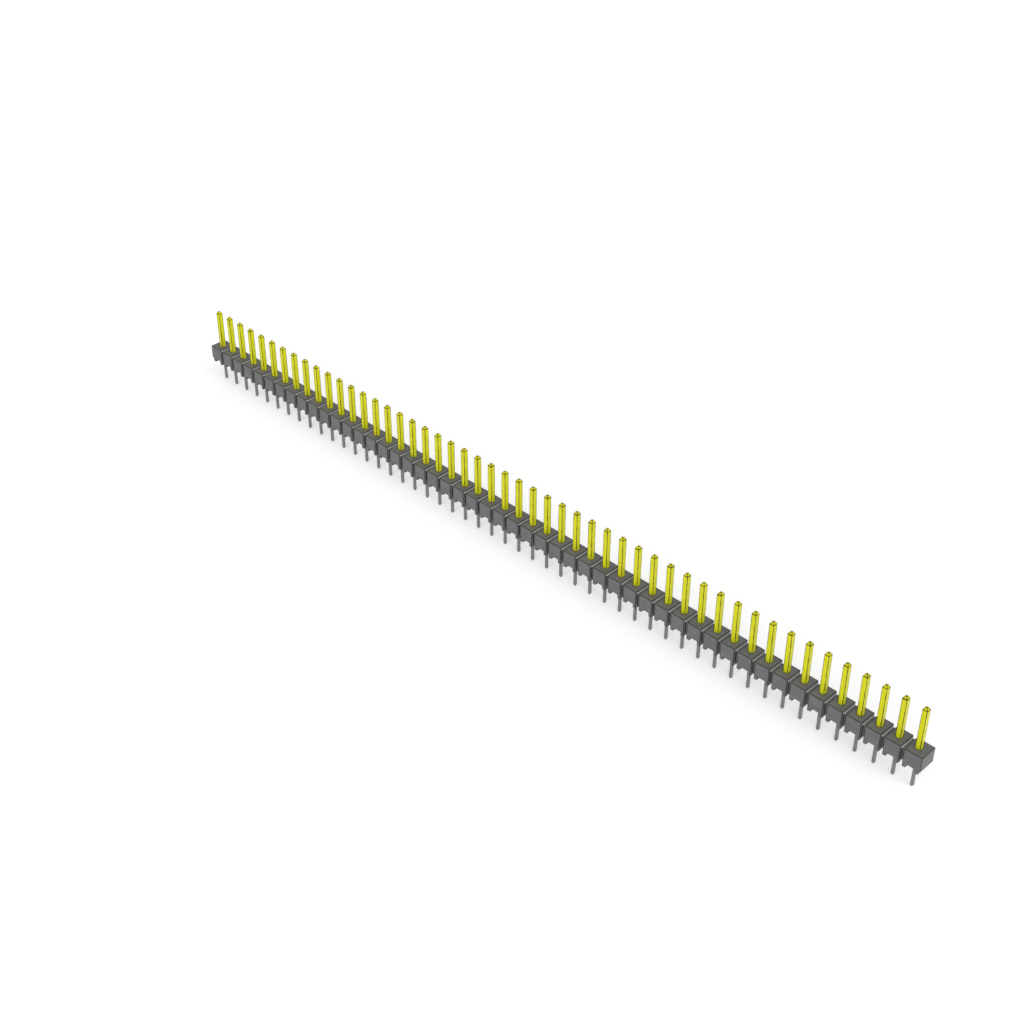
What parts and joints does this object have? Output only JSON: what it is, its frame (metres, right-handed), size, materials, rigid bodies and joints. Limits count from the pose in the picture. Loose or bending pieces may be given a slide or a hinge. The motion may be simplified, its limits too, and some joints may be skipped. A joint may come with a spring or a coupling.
{
  "type": "pin header strip",
  "caption": "Straight row of square contact posts with round solder tails, pressed through a moulded housing bar that snaps apart between its blocks.",
  "frame": {"origin": "centre of the seating plane that the housing's feet stand on, midway between the two end contacts", "axes": "+X along the row, +Y across the row, +Z from the board to the tips of the mating posts"},
  "size_m": [0.127, 0.0024, 0.0116],
  "materials": {
    "moulding": "dark grey glass-filled thermoplastic, fine matt mould texture",
    "contact": "drawn brass wire, gold colour on the mating post and matt tin on the solder tail"
  },
  "bodies": {
    "root": {"housing": "moulding", "pin_01": "contact", "pin_02": "contact", "pin_03": "contact", "pin_04": "contact", "pin_05": "contact", "pin_06": "contact", "pin_07": "contact", "pin_08": "contact", "pin_09": "contact", "pin_10": "contact", "pin_11": "contact", "pin_12": "contact", "pin_13": "contact", "pin_14": "contact", "pin_15": "contact", "pin_16": "contact", "pin_17": "contact", "pin_18": "contact", "pin_19": "contact", "pin_20": "contact", "pin_21": "contact", "pin_22": "contact", "pin_23": "contact", "pin_24": "contact", "pin_25": "contact", "pin_26": "contact", "pin_27": "contact", "pin_28": "contact", "pin_29": "contact", "pin_30": "contact", "pin_31": "contact", "pin_32": "contact", "pin_33": "contact", "pin_34": "contact", "pin_35": "contact", "pin_36": "contact", "pin_37": "contact", "pin_38": "contact", "pin_39": "contact", "pin_40": "contact", "pin_41": "contact", "pin_42": "contact", "pin_43": "contact", "pin_44": "contact", "pin_45": "contact", "pin_46": "contact", "pin_47": "contact", "pin_48": "contact", "pin_49": "contact", "pin_50": "contact"}
  },
  "joints": []
}
